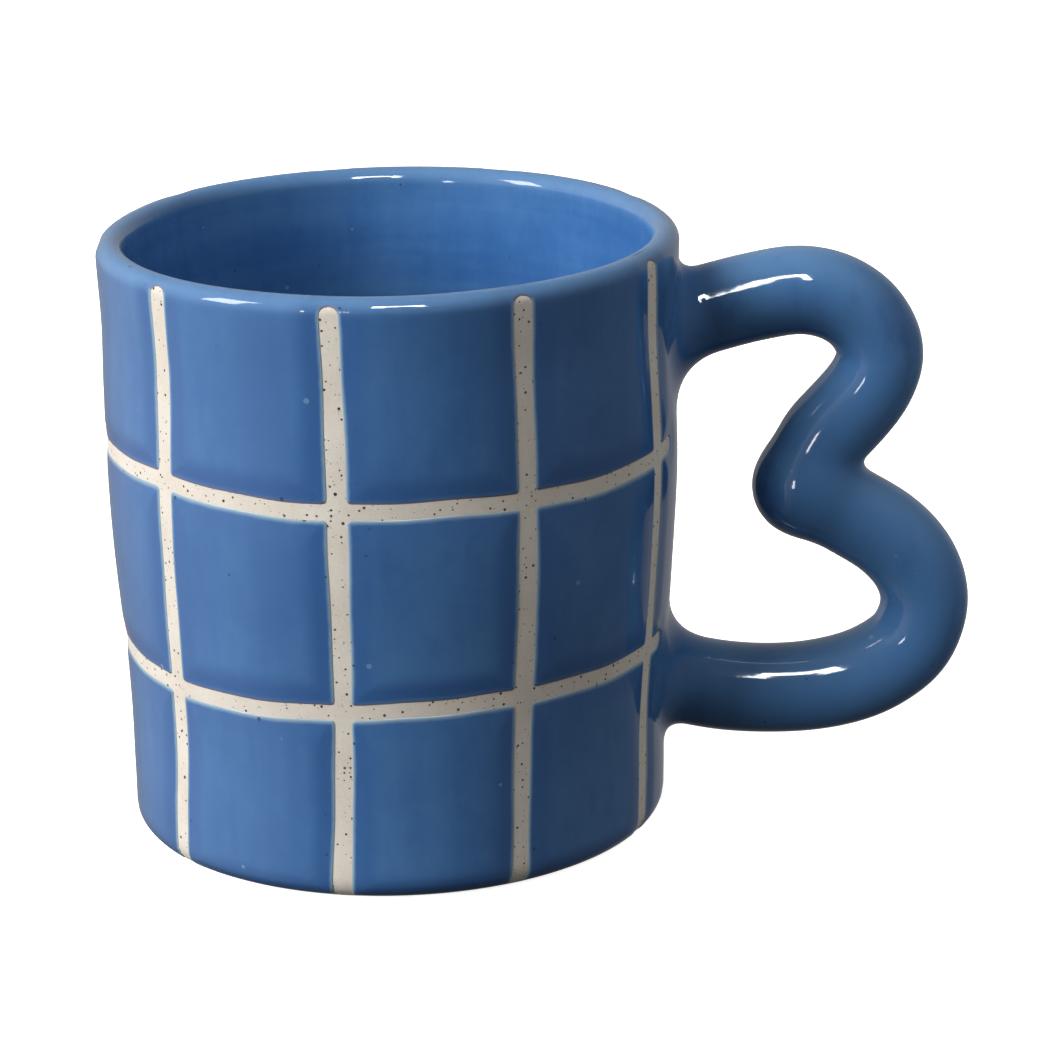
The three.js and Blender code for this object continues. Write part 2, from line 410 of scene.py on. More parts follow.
@dataclass(frozen=True)
class LineGrid:
    """The bare clay lines, straight and even on the developed wall and then drawn by hand over it, in mm."""

    half_width: float = 1.4
    ring_half_width: float = 1.2
    upper: float = 61.0
    lower: float = 30.0
    top: float = 91.0
    strip: float = 50.0
    panels: int = 8
    overrun: float = 6.0
    corner: float = 0.7
    radius: float = 43.5
    beside: float = 4.0  # how far from an upright line its swelling is felt
    about: float = 9.0  # and how far from a ring line its rise
    swells: Waves = ((0.06, 2.3, 0.11, 0), (0.04, 1.1, 0.37, 0))
    upper_rise: Waves = ((0.45, 2, 0, 0.8), (0.25, 5, 0, 2.0), (0.08, 17, 0, 0))
    lower_rise: Waves = ((0.40, 2, 0, 2.9), (0.22, 4, 0, 0.7), (0.07, 19, 0, 0))
    heights: tuple[float, ...] = (2, 30, 46, 61, 91)
    # How far each upright line strays from its place, in degrees at those heights, round from the handle.
    strays: tuple[tuple[float, ...], ...] = (
        (1.0, 0.4, -0.2, 0.3, 1.1),
        (0.9, 0.2, -0.4, 0.2, 0.6),
        (-1.0, -0.2, 0.5, 0.6, -0.5),
        (1.6, 0.4, -0.3, -0.5, -0.9),
        (-0.8, -0.1, 0.6, 0.3, -0.6),
        (-2.75, -0.75, 0.25, 0.35, 1.45),
        (-0.3, 1.1, 1.5, 1.5, 1.0),
        (-1.05, -0.25, 0.05, -0.1, -0.75),
        (-1.2, 0.1, 0.5, -0.6, -3.7),
    )

    @property
    def angles(self) -> list[float]:
        """Angles of the upright lines round from the handle, in radians."""
        step = (360 - self.strip) / self.panels
        return [math.radians(self.strip / 2 + step * i) for i in range(self.panels + 1)]

    def stray(self, phi: Array, z: Array) -> Array:
        """Finds how far the drawn lines shift round the wall from the even grid.

        Args:
            phi: Angles round the even grid.
            z: Heights.

        Returns:
            The shifts in radians.
        """
        anchors = self.angles
        fits = [np.polyfit(self.heights, stray, 3) for stray in self.strays]
        shifts = [np.radians(np.polyval(fit, z)) for fit in fits]
        anchors = [anchors[-1] - TURN, *anchors, anchors[0] + TURN]
        shifts = [shifts[-1], *shifts, shifts[0]]
        total = np.zeros(np.broadcast(phi, z).shape)
        for i in range(len(anchors) - 1):
            share = smooth((phi - anchors[i]) / (anchors[i + 1] - anchors[i]))
            here = (phi >= anchors[i]) & (phi < anchors[i + 1])
            total = np.where(here, shifts[i] * (1 - share) + shifts[i + 1] * share, total)
        for i, anchor in enumerate(self.angles):
            near = np.exp(-(((phi - anchor) * self.radius / self.beside) ** 2))
            total = total + (phi - anchor) * near * ripple(self.swells, i, z)
        return total

    def rise(self, phi: Array, run: Array) -> Array:
        """How far the drawn ring lines shift up the wall from their even height."""
        near_upper, near_lower = (np.exp(-(((run - z) / self.about) ** 2)) for z in (self.upper, self.lower))
        return ripple(self.upper_rise, phi, 0) * near_upper + ripple(self.lower_rise, phi, 0) * near_lower

    def edge(self, phi: Array, run: Array, rings: tuple[float, float], top: float) -> Array:
        """Distance from the nearest line or from the foot's edge, negative within a line.

        Args:
            phi: Angle round the even grid, from 0 to a turn.
            run: Length up the skin.
            rings: Lengths up the skin to the two ring lines.
            top: Length up the skin to where the upright lines end.

        Returns:
            The distance over the glaze to its edge.
        """
        upright = np.full(np.broadcast(phi, run).shape, np.inf)
        past = np.maximum(run - (top - self.half_width), 0)
        for anchor in self.angles:
            upright = np.minimum(upright, np.hypot((phi - anchor) * self.radius, past) - self.half_width)
        from_handle = np.minimum(phi, TURN - phi)
        stub_end = self.angles[0] - (self.overrun - self.ring_half_width) / self.radius
        beyond = np.maximum((stub_end - from_handle) * self.radius, 0)
        ring = [np.hypot(beyond, run - height) - self.ring_half_width for height in rings]
        edge = round_min(upright, np.minimum(*ring), self.corner)
        return round_min(edge, np.broadcast_to(run, edge.shape), self.corner)


@dataclass
class Net:
    """What a film is cut from: angles round the even grid, in radians, and lengths up the skin."""

    columns: list[float]
    rows: list[float]
    keep: Array | None = None  # which of its faces stay, one row per row of faces


@dataclass
class FlatFilm:
    """A film before it is laid on the wall, and where each of its vertices belongs."""

    piece: Piece
    column: Array
    phi: Array
    run: Array
    is_skin: Array


class WallFilm:
    """Makes the films of glaze that lie on the outside of the wall."""

    bead = 0.5  # width of the rounding along a film's edge
    lip = 0.11  # height of that rounding
    shoulder = 3.6  # from the edge to where the film has its full thickness
    dip = (0.4, 0.22, 0.1)  # beyond the edge, where a film's skin sinks into the clay
    climb = (0.0, 0.04, 0.1, 0.18, 0.28, 0.4, 0.65, 1.0, 1.4, 1.9, 2.5)
    guard = 0.002  # the last row at the crest, so that both films are smooth across the seam
    step = 1.25  # between columns or rows where nothing changes fast
    fine_step = 0.25  # and across a ring line or over the lip
    bed = 0.02  # how far a film's inner face stands off the clay
    thinnest = 0.06
    slope_step = 0.15  # over which the way down the wall is measured
    top_paling = (1.2, 3.2)  # from the crest, where the glaze begins to thicken, and over how much

    def __init__(self, cup: CupShape, outline: Outline, lines: LineGrid) -> None:
        """Keeps the shapes that every film shares.

        Args:
            cup: The cup's sizes.
            outline: The glazed skin.
            lines: The bare clay lines.
        """
        self.cup = cup
        self.outline = outline
        self.lines = lines
        self.rings = (outline.run_at(lines.upper), outline.run_at(lines.lower))
        self.top = outline.run_at(lines.top)

    def across(self, low: float, high: float) -> list[float]:
        """Finds places across a panel between two edges, close together near both, in mm.

        Args:
            low: First edge.
            high: Second edge.

        Returns:
            The places in order, from just beyond one edge to just beyond the other.
        """
        near = [-d for d in self.dip] + list(self.climb)
        middle = spaced(low + near[-1], high - near[-1], self.step)[1:-1]
        return [low + d for d in near] + middle + [high - d for d in reversed(near)]

    def flat(self, name: str, net: Net) -> FlatFilm:
        """Makes a film that still lies flat: a grid that is cut out and given a thickness.

        Args:
            name: Name of the piece.
            net: What it is cut from.

        Returns:
            The film and where each of its vertices belongs.
        """
        wide, tall = len(net.columns) - 1, len(net.rows) - 1
        deselect()
        bpy.ops.mesh.primitive_grid_add(x_subdivisions=wide, y_subdivisions=tall, size=1)
        piece = bpy.context.object
        piece.name = name
        piece.data.name = name
        if net.keep is not None:
            self.cut_out(piece, net.keep)
        edit_whole(piece)
        bpy.ops.mesh.extrude_region_move(TRANSFORM_OT_translate={"value": (0, 0, 1)})
        bpy.ops.object.mode_set(mode="OBJECT")
        corners = vertex_places(piece)
        column = np.rint((corners[:, 0] + 0.5) * wide).astype(int)
        row = np.rint((corners[:, 1] + 0.5) * tall).astype(int)
        phi, run = np.array(net.columns)[column], np.array(net.rows)[row]
        return FlatFilm(piece, column, phi, run, corners[:, 2] > 0.5)

    def lay(self, name: str, net: Net) -> Piece:
        """Makes a film and lays it on the outside of the wall.

        Args:
            name: Name of the piece.
            net: What it is cut from.

        Returns:
            The closed film.
        """
        film = self.flat(name, net)
        phi, run = film.phi, film.run
        edge = self.lines.edge(phi, run, self.rings, self.top)
        sunk = self.depth(edge)
        under = np.maximum(self.cup.film - self.bed, sunk + self.thinnest)
        edge_below = (self.lines.edge(phi, run + self.slope_step, self.rings, self.top) - edge) / self.slope_step
        move_vertices(film.piece, self.on_wall(phi, run, np.where(film.is_skin, sunk, under)))
        edge = np.clip(edge, -1, FAR_FROM_EDGE)
        paint_film(film.piece, edge, np.clip(edge_below, -1, 1), self.thinning(run))
        if net.columns[-1] - net.columns[0] > TURN - 1e-9:
            open_ends(film.piece, film.column, len(net.columns) - 1)
        weld(film.piece)
        return film.piece

    @staticmethod
    def cut_out(film: Piece, keep: Array) -> None:
        """Deletes the faces of a flat grid that aren't kept.

        Args:
            film: The grid.
            keep: Which of its faces stay, one row per row of faces.
        """
        tall, wide = keep.shape
        centres = np.array([polygon.center[:2] for polygon in film.data.polygons])
        column = ((centres[:, 0] + 0.5) * wide).astype(int)
        row = ((centres[:, 1] + 0.5) * tall).astype(int)
        delete_chosen(film, "FACE", ~keep[row, column], "FACE")

    def depth(self, edge: Array) -> Array:
        """Finds how far a film's skin lies below its full height, down to the clay at its edge.

        Args:
            edge: Distance over the glaze to its edge.

        Returns:
            The depths.
        """
        rim = np.clip(edge / self.bead, 0, 1)
        lift = self.lip * np.sqrt(1 - (1 - rim) ** 2)
        swell = (self.cup.film - self.lip) * smooth(edge / self.shoulder)
        height = np.where(edge >= 0, lift + swell, 0.8 * edge)
        return self.cup.film - height

    def thinning(self, run: Array) -> Array:
        """How much the glaze has run off the lip, from 0 to 1."""
        start, width = self.top_paling
        return 1 - smooth((np.abs(run - self.outline.crest) - start) / width)

    def on_wall(self, phi: Array, run: Array, depth: Array) -> Array:
        """Puts points of a film on the wall, with the hand-drawn shifts of the lines.

        Args:
            phi: Angles round the even grid.
            run: Lengths up the skin.
            depth: How far below the skin.

        Returns:
            The points in metres.
        """
        shifted = run + self.lines.rise(phi, run)
        radius, z = self.outline.at(shifted, depth)
        return self.cup.place(phi + self.lines.stray(phi, z), radius, z)

    def columns_between(self, first: float, last: float) -> list[float]:
        """Angles across a panel between two upright lines."""
        radius, half = self.lines.radius, self.lines.half_width
        return [a / radius for a in self.across(first * radius + half, last * radius - half)]

    def panel(self, name: str, index: int, low: float, high: float) -> Piece:
        """One island of glaze.

        Args:
            name: Name of the piece.
            index: Which panel round from the handle, from 0.
            low: Length up the skin to its lower edge.
            high: Length up the skin to its upper edge.

        Returns:
            The closed film.
        """
        angles = self.lines.angles
        columns = self.columns_between(angles[index], angles[index + 1])
        at_foot = low < self.guard
        rows = [0.0] * at_foot + [r for r in self.across(low, high) if r > self.guard]
        return self.lay(name, Net(columns, rows))


class Panels(WallFilm):
    """The sixteen islands of glaze between the ring lines and below them."""

    def build(self) -> list[Piece]:
        """Makes both rows of islands.

        Returns:
            The islands, each named after the CAD node that it stands for.
        """
        half = self.lines.ring_half_width
        upper, lower = self.rings
        made = []
        for i in range(self.lines.panels):
            for row, low, high in (("middle", lower + half, upper - half), ("lower", 0.0, lower - half)):
                node = f"{row}_panel_{i + 1}"
                made.append(self.panel(f"{node}_film", i, low, high))
                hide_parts(node)
        return made


class RimFilm(WallFilm):
    """The one film round the lip, with the eight panels that hang from it and the strip at the handle."""

    line_step = 0.2  # across the end of an upright line
    side_step = 0.3  # beside the handle, where the ring lines end
    side = (2.8, 8.2)  # from an upright line, and how far that goes on
    ring_side = 3.0  # how far the fine rows go on from a ring line
    lip_step = 0.22

    def line_columns(self, anchor: float) -> list[float]:
        """Angles across an upright line, where only the band above its end is glazed."""
        half = self.lines.half_width - self.dip[0]
        return [anchor + a / self.lines.radius for a in spaced(-half, half, self.line_step)[1:-1]]

    def all_columns(self) -> tuple[list[float], list[str]]:
        """Angles all the way round, and what stands between each and the next.

        Returns:
            The angles, and for each face between two of them "line", "panel" or "strip".
        """
        angles = self.lines.angles
        radius, half = self.lines.radius, self.lines.half_width
        reach = angles[0] * radius - half
        fine = [-d for d in self.dip] + list(self.climb) + spaced(*self.side, self.side_step)
        side = [reach - d for d in fine]
        between = spaced(-side[-1], side[-1], self.step)[1:-1]
        strip = [a / radius for a in [-a for a in side] + between + side[::-1]]
        middle = len(strip) // 2
        bands = [(strip[middle:], "strip")]
        for i, angle in enumerate(angles):
            bands.append((self.line_columns(angle), "line"))
            if i < self.lines.panels:
                bands.append((self.columns_between(angle, angles[i + 1]), "panel"))
        bands.append(([a + TURN for a in strip[: middle + 1]], "strip"))
        turns = [angle for band, _ in bands for angle in band]
        kinds = [kind if i else "line" for band, kind in bands for i in range(len(band))][1:]
        return turns, kinds

    def all_rows(self) -> list[float]:
        """Finds the film's rows, from the foot's edge to just past the crest of the lip.

        Returns:
            Their lengths up the skin.
        """
        upper, lower = self.rings
        crest, edge = self.outline.crest, upper + self.lines.ring_half_width
        line_end = self.top - 2 * self.lines.half_width - 1.0
        rows = [0.0, *[d for d in self.climb if d > 0]]
        for end, step in (
            (lower - self.ring_side, self.step),
            (lower + self.ring_side, self.fine_step),
            (upper - self.ring_side, self.step),
            (edge - 0.5, self.fine_step),
        ):
            rows += spaced(rows[-1], end, step)[1:]
        rows += [edge - d for d in self.dip] + [edge + d for d in self.climb]
        for end, step in ((line_end, self.step), (crest, self.lip_step)):
            rows += spaced(rows[-1], end, step)[1:]
        return [*rows, crest + self.guard]

    def build(self) -> Piece:
        """Makes the film.

        Returns:
            The closed film.
        """
        columns, kinds = self.all_columns()
        rows = self.all_rows()
        middles = (np.array(rows)[1:] + np.array(rows)[:-1]) / 2
        panel_start = self.rings[0] + self.lines.ring_half_width - self.dip[0]
        line_start = self.top - self.lines.half_width - 1.5
        starts = {"strip": -1.0, "panel": panel_start, "line": line_start}
        keep = np.array([[middle > starts[kind] for kind in kinds] for middle in middles])
        film = self.lay("rim_film", Net(columns, rows, keep))
        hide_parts("rim_glaze")
        self.columns = columns
        return film


class Liner(WallFilm):
    """The glaze inside the cup, from the crest of the lip to the middle of the floor."""

    wall_step = 3.0
    floor_step = 2.4
    corner_run = 40.0  # how long before the floor's last row the rows are closer
    fade = 25.0  # over which the lines' straying fades out below the crest

    def build(self, columns: list[float]) -> Piece:
        """Makes the liner on the same angles as the rim's film, so that they meet without a gap.

        Args:
            columns: Angles round the cup.

        Returns:
            The closed film.
        """
        crest, end = self.outline.crest, float(self.outline.run[-1])
        lip_end = crest + self.cup.lip_round * math.pi / 2
        floor_start = end - float(self.outline.skin[-1, 0]) - self.corner_run
        rows = [crest - self.guard, *spaced(crest, lip_end + 0.4, self.fine_step)]
        rows += spaced(rows[-1], floor_start, self.wall_step)[1:]
        rows += spaced(floor_start, end, self.floor_step)[1:]
        film = self.flat("liner_film", Net(columns, rows))
        depth = np.where(film.is_skin, 0, self.cup.film - self.bed)
        radius, z = self.outline.at(film.run, depth)
        radius = np.where(film.run > end - 1e-6, 0, radius)
        stray = self.lines.stray(film.phi, z) * (1 - smooth((film.run - crest) / self.fade))
        move_vertices(film.piece, self.cup.place(film.phi + stray, radius, z))
        paint_film(film.piece, FAR_FROM_EDGE, 0.0, self.thinning(film.run))
        open_ends(film.piece, film.column, len(columns) - 1)
        weld(film.piece)
        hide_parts("liner_glaze")
        return film.piece


# ---------------------------------------------------------------- the clay cup


@dataclass
class ClayCup:
    """The thrown clay cup under the glaze."""

    cup: CupShape
    outline: Outline
    facets: int = 288
    step: float = 1.2
    lip_step: float = 0.35
    floor_step: float = 2.4

    def profile(self) -> Array:
        """Finds the clay's outline from the middle of the foot round to the middle of the floor.

        Returns:
            Its radii and heights.
        """
        cup, outline = self.cup, self.outline
        middle = float(cup.outer(cup.foot_round)) - cup.foot_round - cup.film
        bare = math.radians(cup.bare_foot_angle - 90)
        under = [[r, 0.0] for r in spaced(0, middle - 3, 6)] + [[middle - 1, 0.0]]
        edge = Outline.arc(middle, cup.foot_round, cup.foot_round, -math.pi / 2, bare)[::4]
        end = float(outline.run[-1])
        lip = outline.crest + cup.lip_round * math.pi / 2
        runs = np.array(
            spaced(0.3, outline.crest - 6, self.step)
            + spaced(outline.crest - 6, lip + 1, self.lip_step)[1:]
            + spaced(lip + 1, end, self.floor_step)[1:]
        )
        radius, z = outline.at(runs, cup.film)
        radius[-1] = 0
        return np.concatenate([under, edge, np.stack([radius, z], -1)])

    def build(self) -> Piece:
        """Spins the outline round the cup's axis and gives it the undulation of the wall.

        Returns:
            The closed clay body.
        """
        profile = self.profile()
        deselect()
        bpy.ops.mesh.primitive_circle_add(vertices=len(profile), radius=1, fill_type="NOTHING")
        clay = bpy.context.object
        clay.name = "clay_cup"
        move_vertices(clay, np.stack([profile[:, 0], np.zeros(len(profile)), profile[:, 1]], -1) * MM)
        ends = {0, len(profile) - 1}
        delete_chosen(clay, "EDGE", [set(edge.vertices) == ends for edge in clay.data.edges], "EDGE")
        edit_whole(clay)
        bpy.ops.mesh.spin(steps=self.facets, angle=TURN, center=(0, 0, 0), axis=(0, 0, 1))
        bpy.ops.object.mode_set(mode="OBJECT")
        places = vertex_places(clay) / MM
        theta = np.arctan2(places[:, 1], places[:, 0])
        move_vertices(clay, self.cup.place(theta, np.hypot(places[:, 0], places[:, 1]), places[:, 2]))
        weld(clay, 1e-6)
        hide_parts("clay_body")
        return clay


# ---------------------------------------------------------------- the handle


class Bow:
    """The centre line of one bow in the plane y = 0, sampled closely, with a hand-rolled thickness."""

    samples = 120  # to each stretch between two points
    step = 0.1
    smoothing = 71  # steps over which the line is evened out
    coarse = 10  # steps between the places that are tried first
    batch = 20000

    def __init__(self, points: list[tuple[float, float]], thickness: float, phase: float) -> None:
        """Runs a smooth curve through the points.

        Args:
            points: Distance from the cup's axis and height of points on the centre line.
            thickness: Radius of the glazed coil.
            phase: Where the coil's irregularities start.
        """
        knots = np.array(points, float)
        ends = [2 * knots[0] - knots[1], *knots, 2 * knots[-1] - knots[-2]]
        fine = []
        for p0, p1, p2, p3 in zip(ends, ends[1:], ends[2:], ends[3:]):
            gaps = [np.linalg.norm(b - a) ** 0.5 for a, b in ((p0, p1), (p1, p2), (p2, p3))]
            t0, t1 = 0.0, gaps[0]
            t2, t3 = t1 + gaps[1], t1 + gaps[1] + gaps[2]
            t = np.linspace(t1, t2, self.samples, endpoint=False)[:, None]
            a1 = (t1 - t) / (t1 - t0) * p0 + (t - t0) / (t1 - t0) * p1
            a2 = (t2 - t) / (t2 - t1) * p1 + (t - t1) / (t2 - t1) * p2
            a3 = (t3 - t) / (t3 - t2) * p2 + (t - t2) / (t3 - t2) * p3
            b1 = (t2 - t) / (t2 - t0) * a1 + (t - t0) / (t2 - t0) * a2
            b2 = (t3 - t) / (t3 - t1) * a2 + (t - t1) / (t3 - t1) * a3
            fine.append((t2 - t) / (t2 - t1) * b1 + (t - t1) / (t2 - t1) * b2)
        path = np.concatenate([*fine, knots[-1:]])
        length = np.concatenate([[0], np.cumsum(np.linalg.norm(np.diff(path, axis=0), axis=1))])
        even = np.arange(0, length[-1], self.step)
        path = np.stack([np.interp(even, length, path[:, i]) for i in range(2)], -1)
        window, margin = np.hanning(self.smoothing), self.smoothing // 2
        kernel = window / window.sum()
        padded = np.pad(path, ((margin, margin), (0, 0)), mode="reflect", reflect_type="odd")
        self.path = np.stack([np.convolve(padded[:, i], kernel, "valid") for i in range(2)], -1)
        along = np.gradient(self.path, axis=0)
        self.along = along / np.linalg.norm(along, axis=1)[:, None]
        wave = 0.10 * np.sin(even / 9 + phase) + 0.06 * np.sin(even / 4.3 + 2 * phase)
        self.thickness = thickness + wave

    def distance(self, x: Array, y: Array, z: Array) -> Array:
        """Measures how far points are from the coil's surface.

        Args:
            x: The points' distances out from the cup's axis, in mm.
            y: Their distances to the side.
            z: Their heights.

        Returns:
            The distances, negative inside the coil.
        """
        if x.ndim == 3:  # a whole grid, where every slice has the same flat distances
            flat_gap, thickness = self.flat(x[:, 0], z[:, 0])
            return np.hypot(flat_gap[:, None], y) - thickness[:, None]
        flat_gap, thickness = self.flat(x, z)
        return np.hypot(flat_gap, y) - thickness

    def flat(self, x: Array, z: Array) -> tuple[Array, Array]:
        """Measures how far points of the plane y = 0 are from the centre line.

        Args:
            x: Their distances out from the cup's axis.
            z: Their heights.

        Returns:
            The distances, and the coil's radius at the nearest place.
        """
        flat = np.stack([x.ravel(), z.ravel()], -1)
        coarse = self.path[:: self.coarse]
        best = np.empty(len(flat), int)
        for start in range(0, len(flat), self.batch):
            part = flat[start : start + self.batch]
            gap = (part[:, None, 0] - coarse[None, :, 0]) ** 2 + (part[:, None, 1] - coarse[None, :, 1]) ** 2
            best[start : start + self.batch] = gap.argmin(1) * self.coarse
        around = np.arange(-self.coarse, self.coarse + 1)
        window = np.clip(best[:, None] + around[None, :], 0, len(self.path) - 1)
        near = self.path[window]
        closest = ((flat[:, None, :] - near) ** 2).sum(2).argmin(1)
        index = window[np.arange(len(flat)), closest]
        off = flat - self.path[index]
        slide = (off * self.along[index]).sum(1)
        slide = np.where((index > 0) & (index < len(self.path) - 1), slide, 0)
        off = off - slide[:, None] * self.along[index]
        return np.hypot(off[:, 0], off[:, 1]).reshape(x.shape), self.thickness[index].reshape(x.shape)


class HandleFilm:
    """The glaze over the coil and over the slip at both ends, which flows into the wall."""

    cell = 0.5  # spacing of the grid that the surface is drawn from
    low = (34.87, -19.61, 1.93)
    high = (90.5, 19.5, 91.5)
    upper = Bow(
        [
            (34, 74.2), (40, 75.8), (44, 77), (48.9, 78.3), (55.3, 79.8), (62.3, 80.7), (67.7, 79.5),
            (72.2, 76.2), (74.6, 70.8), (73.1, 65.8), (69.4, 61.1), (65.8, 57.2), (64.2, 53.9), (62.8, 50),
        ],
        6.7,
        0.4,
    )
    lower = Bow(
        [
            (62.8, 50), (69.6, 45.9), (76.2, 41.5), (80.2, 36.6), (81.7, 30.8), (79.6, 24.4), (75.6, 21),
            (71.4, 19), (65, 17.6), (58, 17.3), (50.7, 17.9), (44, 19.3), (40, 20.2), (34, 21.6),
        ],
        6.9,
        1.9,
    )
    knuckle = (63.5, 50.0, 6.6)  # the ball where the bows are pressed together: its place and radius
    knuckle_blend = 4.0
    crotch = 2.2  # blend of one bow into the other
    fillet = 3.6  # at the joints, where the slip is wiped round
    gap_fillet = 3.4  # how much wider it is on the sides that face the fingers
    gap = (12.0, 76.0)  # heights of those sides
    gap_fade = 8.0
    skirt = 1.3  # how far the film goes on past the fillet
    dive = 0.35  # how steeply it sinks there into the wall's glaze
    film = 0.4
    sheer = 0.10  # how thin the glaze is all over the coil, from 0 to 1
    top_paling = 0.84  # how much paler the coil's upward faces are painted: painted light from above
    root = 1.6  # how deep its root reaches behind the wall's skin
    standoff = 0.6  # from the wall's skin to the end of the clay coil
    clearance = 0.03  # between the clay coil and the film's inner face

    def __init__(self, cup: CupShape) -> None:
        """Keeps the cup that the handle grows from.

        Args:
            cup: The cup's sizes.
        """
        self.cup = cup

    def coil(self, points: Array) -> Array:
        """Measures how far points are from the glazed coil.

        Args:
            points: The points in mm.

        Returns:
            The distances, negative inside.
        """
        x, y, z = points[..., 0], points[..., 1], points[..., 2]
        cx, cz, size = self.knuckle
        ball = np.sqrt((x - cx) ** 2 + y**2 + (z - cz) ** 2) - size
        bows = soft_min(self.upper.distance(x, y, z), self.lower.distance(x, y, z), self.crotch)
        return soft_min(bows, ball, self.knuckle_blend)

    def skin(self, points: Array) -> Array:
        """Measures how far points are from the film's outside.

        Args:
            points: The points in mm.

        Returns:
            The distances, negative inside.
        """
        z = points[..., 2]
        coil = self.coil(points)
        wall = self.cup.wall_distance(points)
        start, end = (smooth((z - height) / self.gap_fade) for height in self.gap)
        blend = self.fillet + self.gap_fillet * (start * (1 - end))
        past = np.maximum(coil - blend, 0)
        skin = soft_min(coil, wall + self.dive * past**2, blend)
        return np.maximum(np.maximum(skin, -(wall + self.root)), coil - blend - self.skirt)

    def lining(self, points: Array) -> Array:
        """Distance of points in mm from the film's inner face, which lies on the clay coil."""
        return np.maximum(self.coil(points) + self.film, self.standoff - self.cup.wall_distance(points))

    def draw(self, distance: Callable[[Array], Array]) -> tuple[Array, Array]:
        """Draws the surface where a distance is zero.

        Args:
            distance: Gives the distance of points from the surface, negative inside.

        Returns:
            The vertices in mm and the four-cornered faces.
        """
        axes = [np.arange(lo, hi + self.cell, self.cell) for lo, hi in zip(self.low, self.high)]
        grid = np.stack(np.meshgrid(*axes, indexing="ij"), -1)
        values = distance(grid)
        inside = values < 0
        shape = np.array(values.shape)
        cells = shape - 1
        total, count = np.zeros((*cells, 3)), np.zeros(cells)
        corners = [(i, j, k) for i in (0, 1) for j in (0, 1) for k in (0, 1)]
        for a in corners:
            for axis in range(3):
                if a[axis]:
                    continue
                b = tuple(a[i] + (i == axis) for i in range(3))
                first = tuple(slice(a[i], a[i] + cells[i]) for i in range(3))
                second = tuple(slice(b[i], b[i] + cells[i]) for i in range(3))
                crossing = inside[first] != inside[second]
                va, vb = values[first], values[second]
                share = np.where(crossing, va / np.where(crossing, va - vb, 1), 0)[..., None]
                total += crossing[..., None] * (grid[first] * (1 - share) + grid[second] * share)
                count += crossing
        used = count > 0
        index = np.full(cells, -1)
        index[used] = np.arange(used.sum())
        vertices = total[used] / count[used][:, None]
        faces = []
        for axis in range(3):
            u, v = [i for i in range(3) if i != axis]
            core = [slice(1, n - 1) for n in shape]
            core[axis] = slice(0, cells[axis])
            ahead = list(core)
            ahead[axis] = slice(1, shape[axis])
            start, end = inside[tuple(core)], inside[tuple(ahead)]
            for leaving in (True, False):
                places = np.argwhere((start & ~end) if leaving else (~start & end))
                places += [part.start for part in core]
                ring = []
                for du, dv in ((-1, -1), (0, -1), (0, 0), (-1, 0)):
                    at = places.copy()
                    at[:, u] += du
                    at[:, v] += dv
                    ring.append(index[at[:, 0], at[:, 1], at[:, 2]])
                quad = np.stack(ring, -1)
                flip = leaving == (axis == 1)
                faces.append(quad[:, ::-1] if flip else quad)
        return self.settle(vertices, distance), np.concatenate(faces)

    def settle(self, vertices: Array, distance: Callable[[Array], Array]) -> Array:
        """Moves vertices onto the exact surface where it is smooth.

        Args:
            vertices: Their places in mm.
            distance: Gives the distance of points from the surface.

        Returns:
            Their new places.
        """
        reach, flattest = 0.05, 0.2
        for _ in range(2):
            value = distance(vertices)
            steps = reach * np.eye(3)
            slope = [(distance(vertices + step) - distance(vertices - step)) / (2 * reach) for step in steps]
            slope = np.stack(slope, -1)
            size = np.maximum((slope**2).sum(1), flattest)
            move = -(value / size)[:, None] * slope
            vertices = vertices + np.clip(move, -self.cell / 2, self.cell / 2)
        return vertices

    def build(self) -> Piece:
        """Makes the film with its outer skin and its inner face on the coil.

        Returns:
            The closed film.
        """
        skin, faces = self.draw(self.skin)
        lining, back = self.draw(self.lining)
        places = np.concatenate([skin, lining]) * MM
        quads = np.concatenate([faces, back[:, ::-1] + len(skin)])
        handle = self.piece("handle_film", places, quads)
        facing = np.empty(len(places) * 3)
        handle.data.vertex_normals.foreach_get("vector", facing)
        away = smooth((self.cup.wall_distance(places / MM) - 0.5) / 9)
        # Painted light from above: the coil's upward faces get more of the pale tint.
        top = smooth((facing.reshape(-1, 3)[:, 2] - 0.1) / 0.9)
        paint_film(handle, FAR_FROM_EDGE, 0.0, away * (self.sheer + self.top_paling * top), away)
        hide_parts("handle_glaze", "upper_slip_joint", "lower_slip_joint")
        return handle

    def build_coil(self) -> Piece:
        """Makes the clay coil under the film.

        Returns:
            The closed coil.
        """
        places, faces = self.draw(lambda points: self.lining(points) + self.clearance)
        coil = self.piece("handle_clay", places * MM, faces)
        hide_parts("handle_coil")
        return coil

    @staticmethod
    def piece(name: str, places: Array, faces: Array) -> Piece:
        """Makes a smooth piece.

        Args:
            name: Its name.
            places: Places of its vertices, in metres.
            faces: Its four-cornered faces.

        Returns:
            The piece.
        """
        mesh = bpy.data.meshes.new(name)
        mesh.from_pydata(places.tolist(), [], faces.tolist())
        mesh.validate()
        mesh.shade_smooth()
        made = bpy.data.objects.new(name, mesh)
        bpy.context.scene.collection.objects.link(made)
        return made


# ---------------------------------------------------------------- finishes


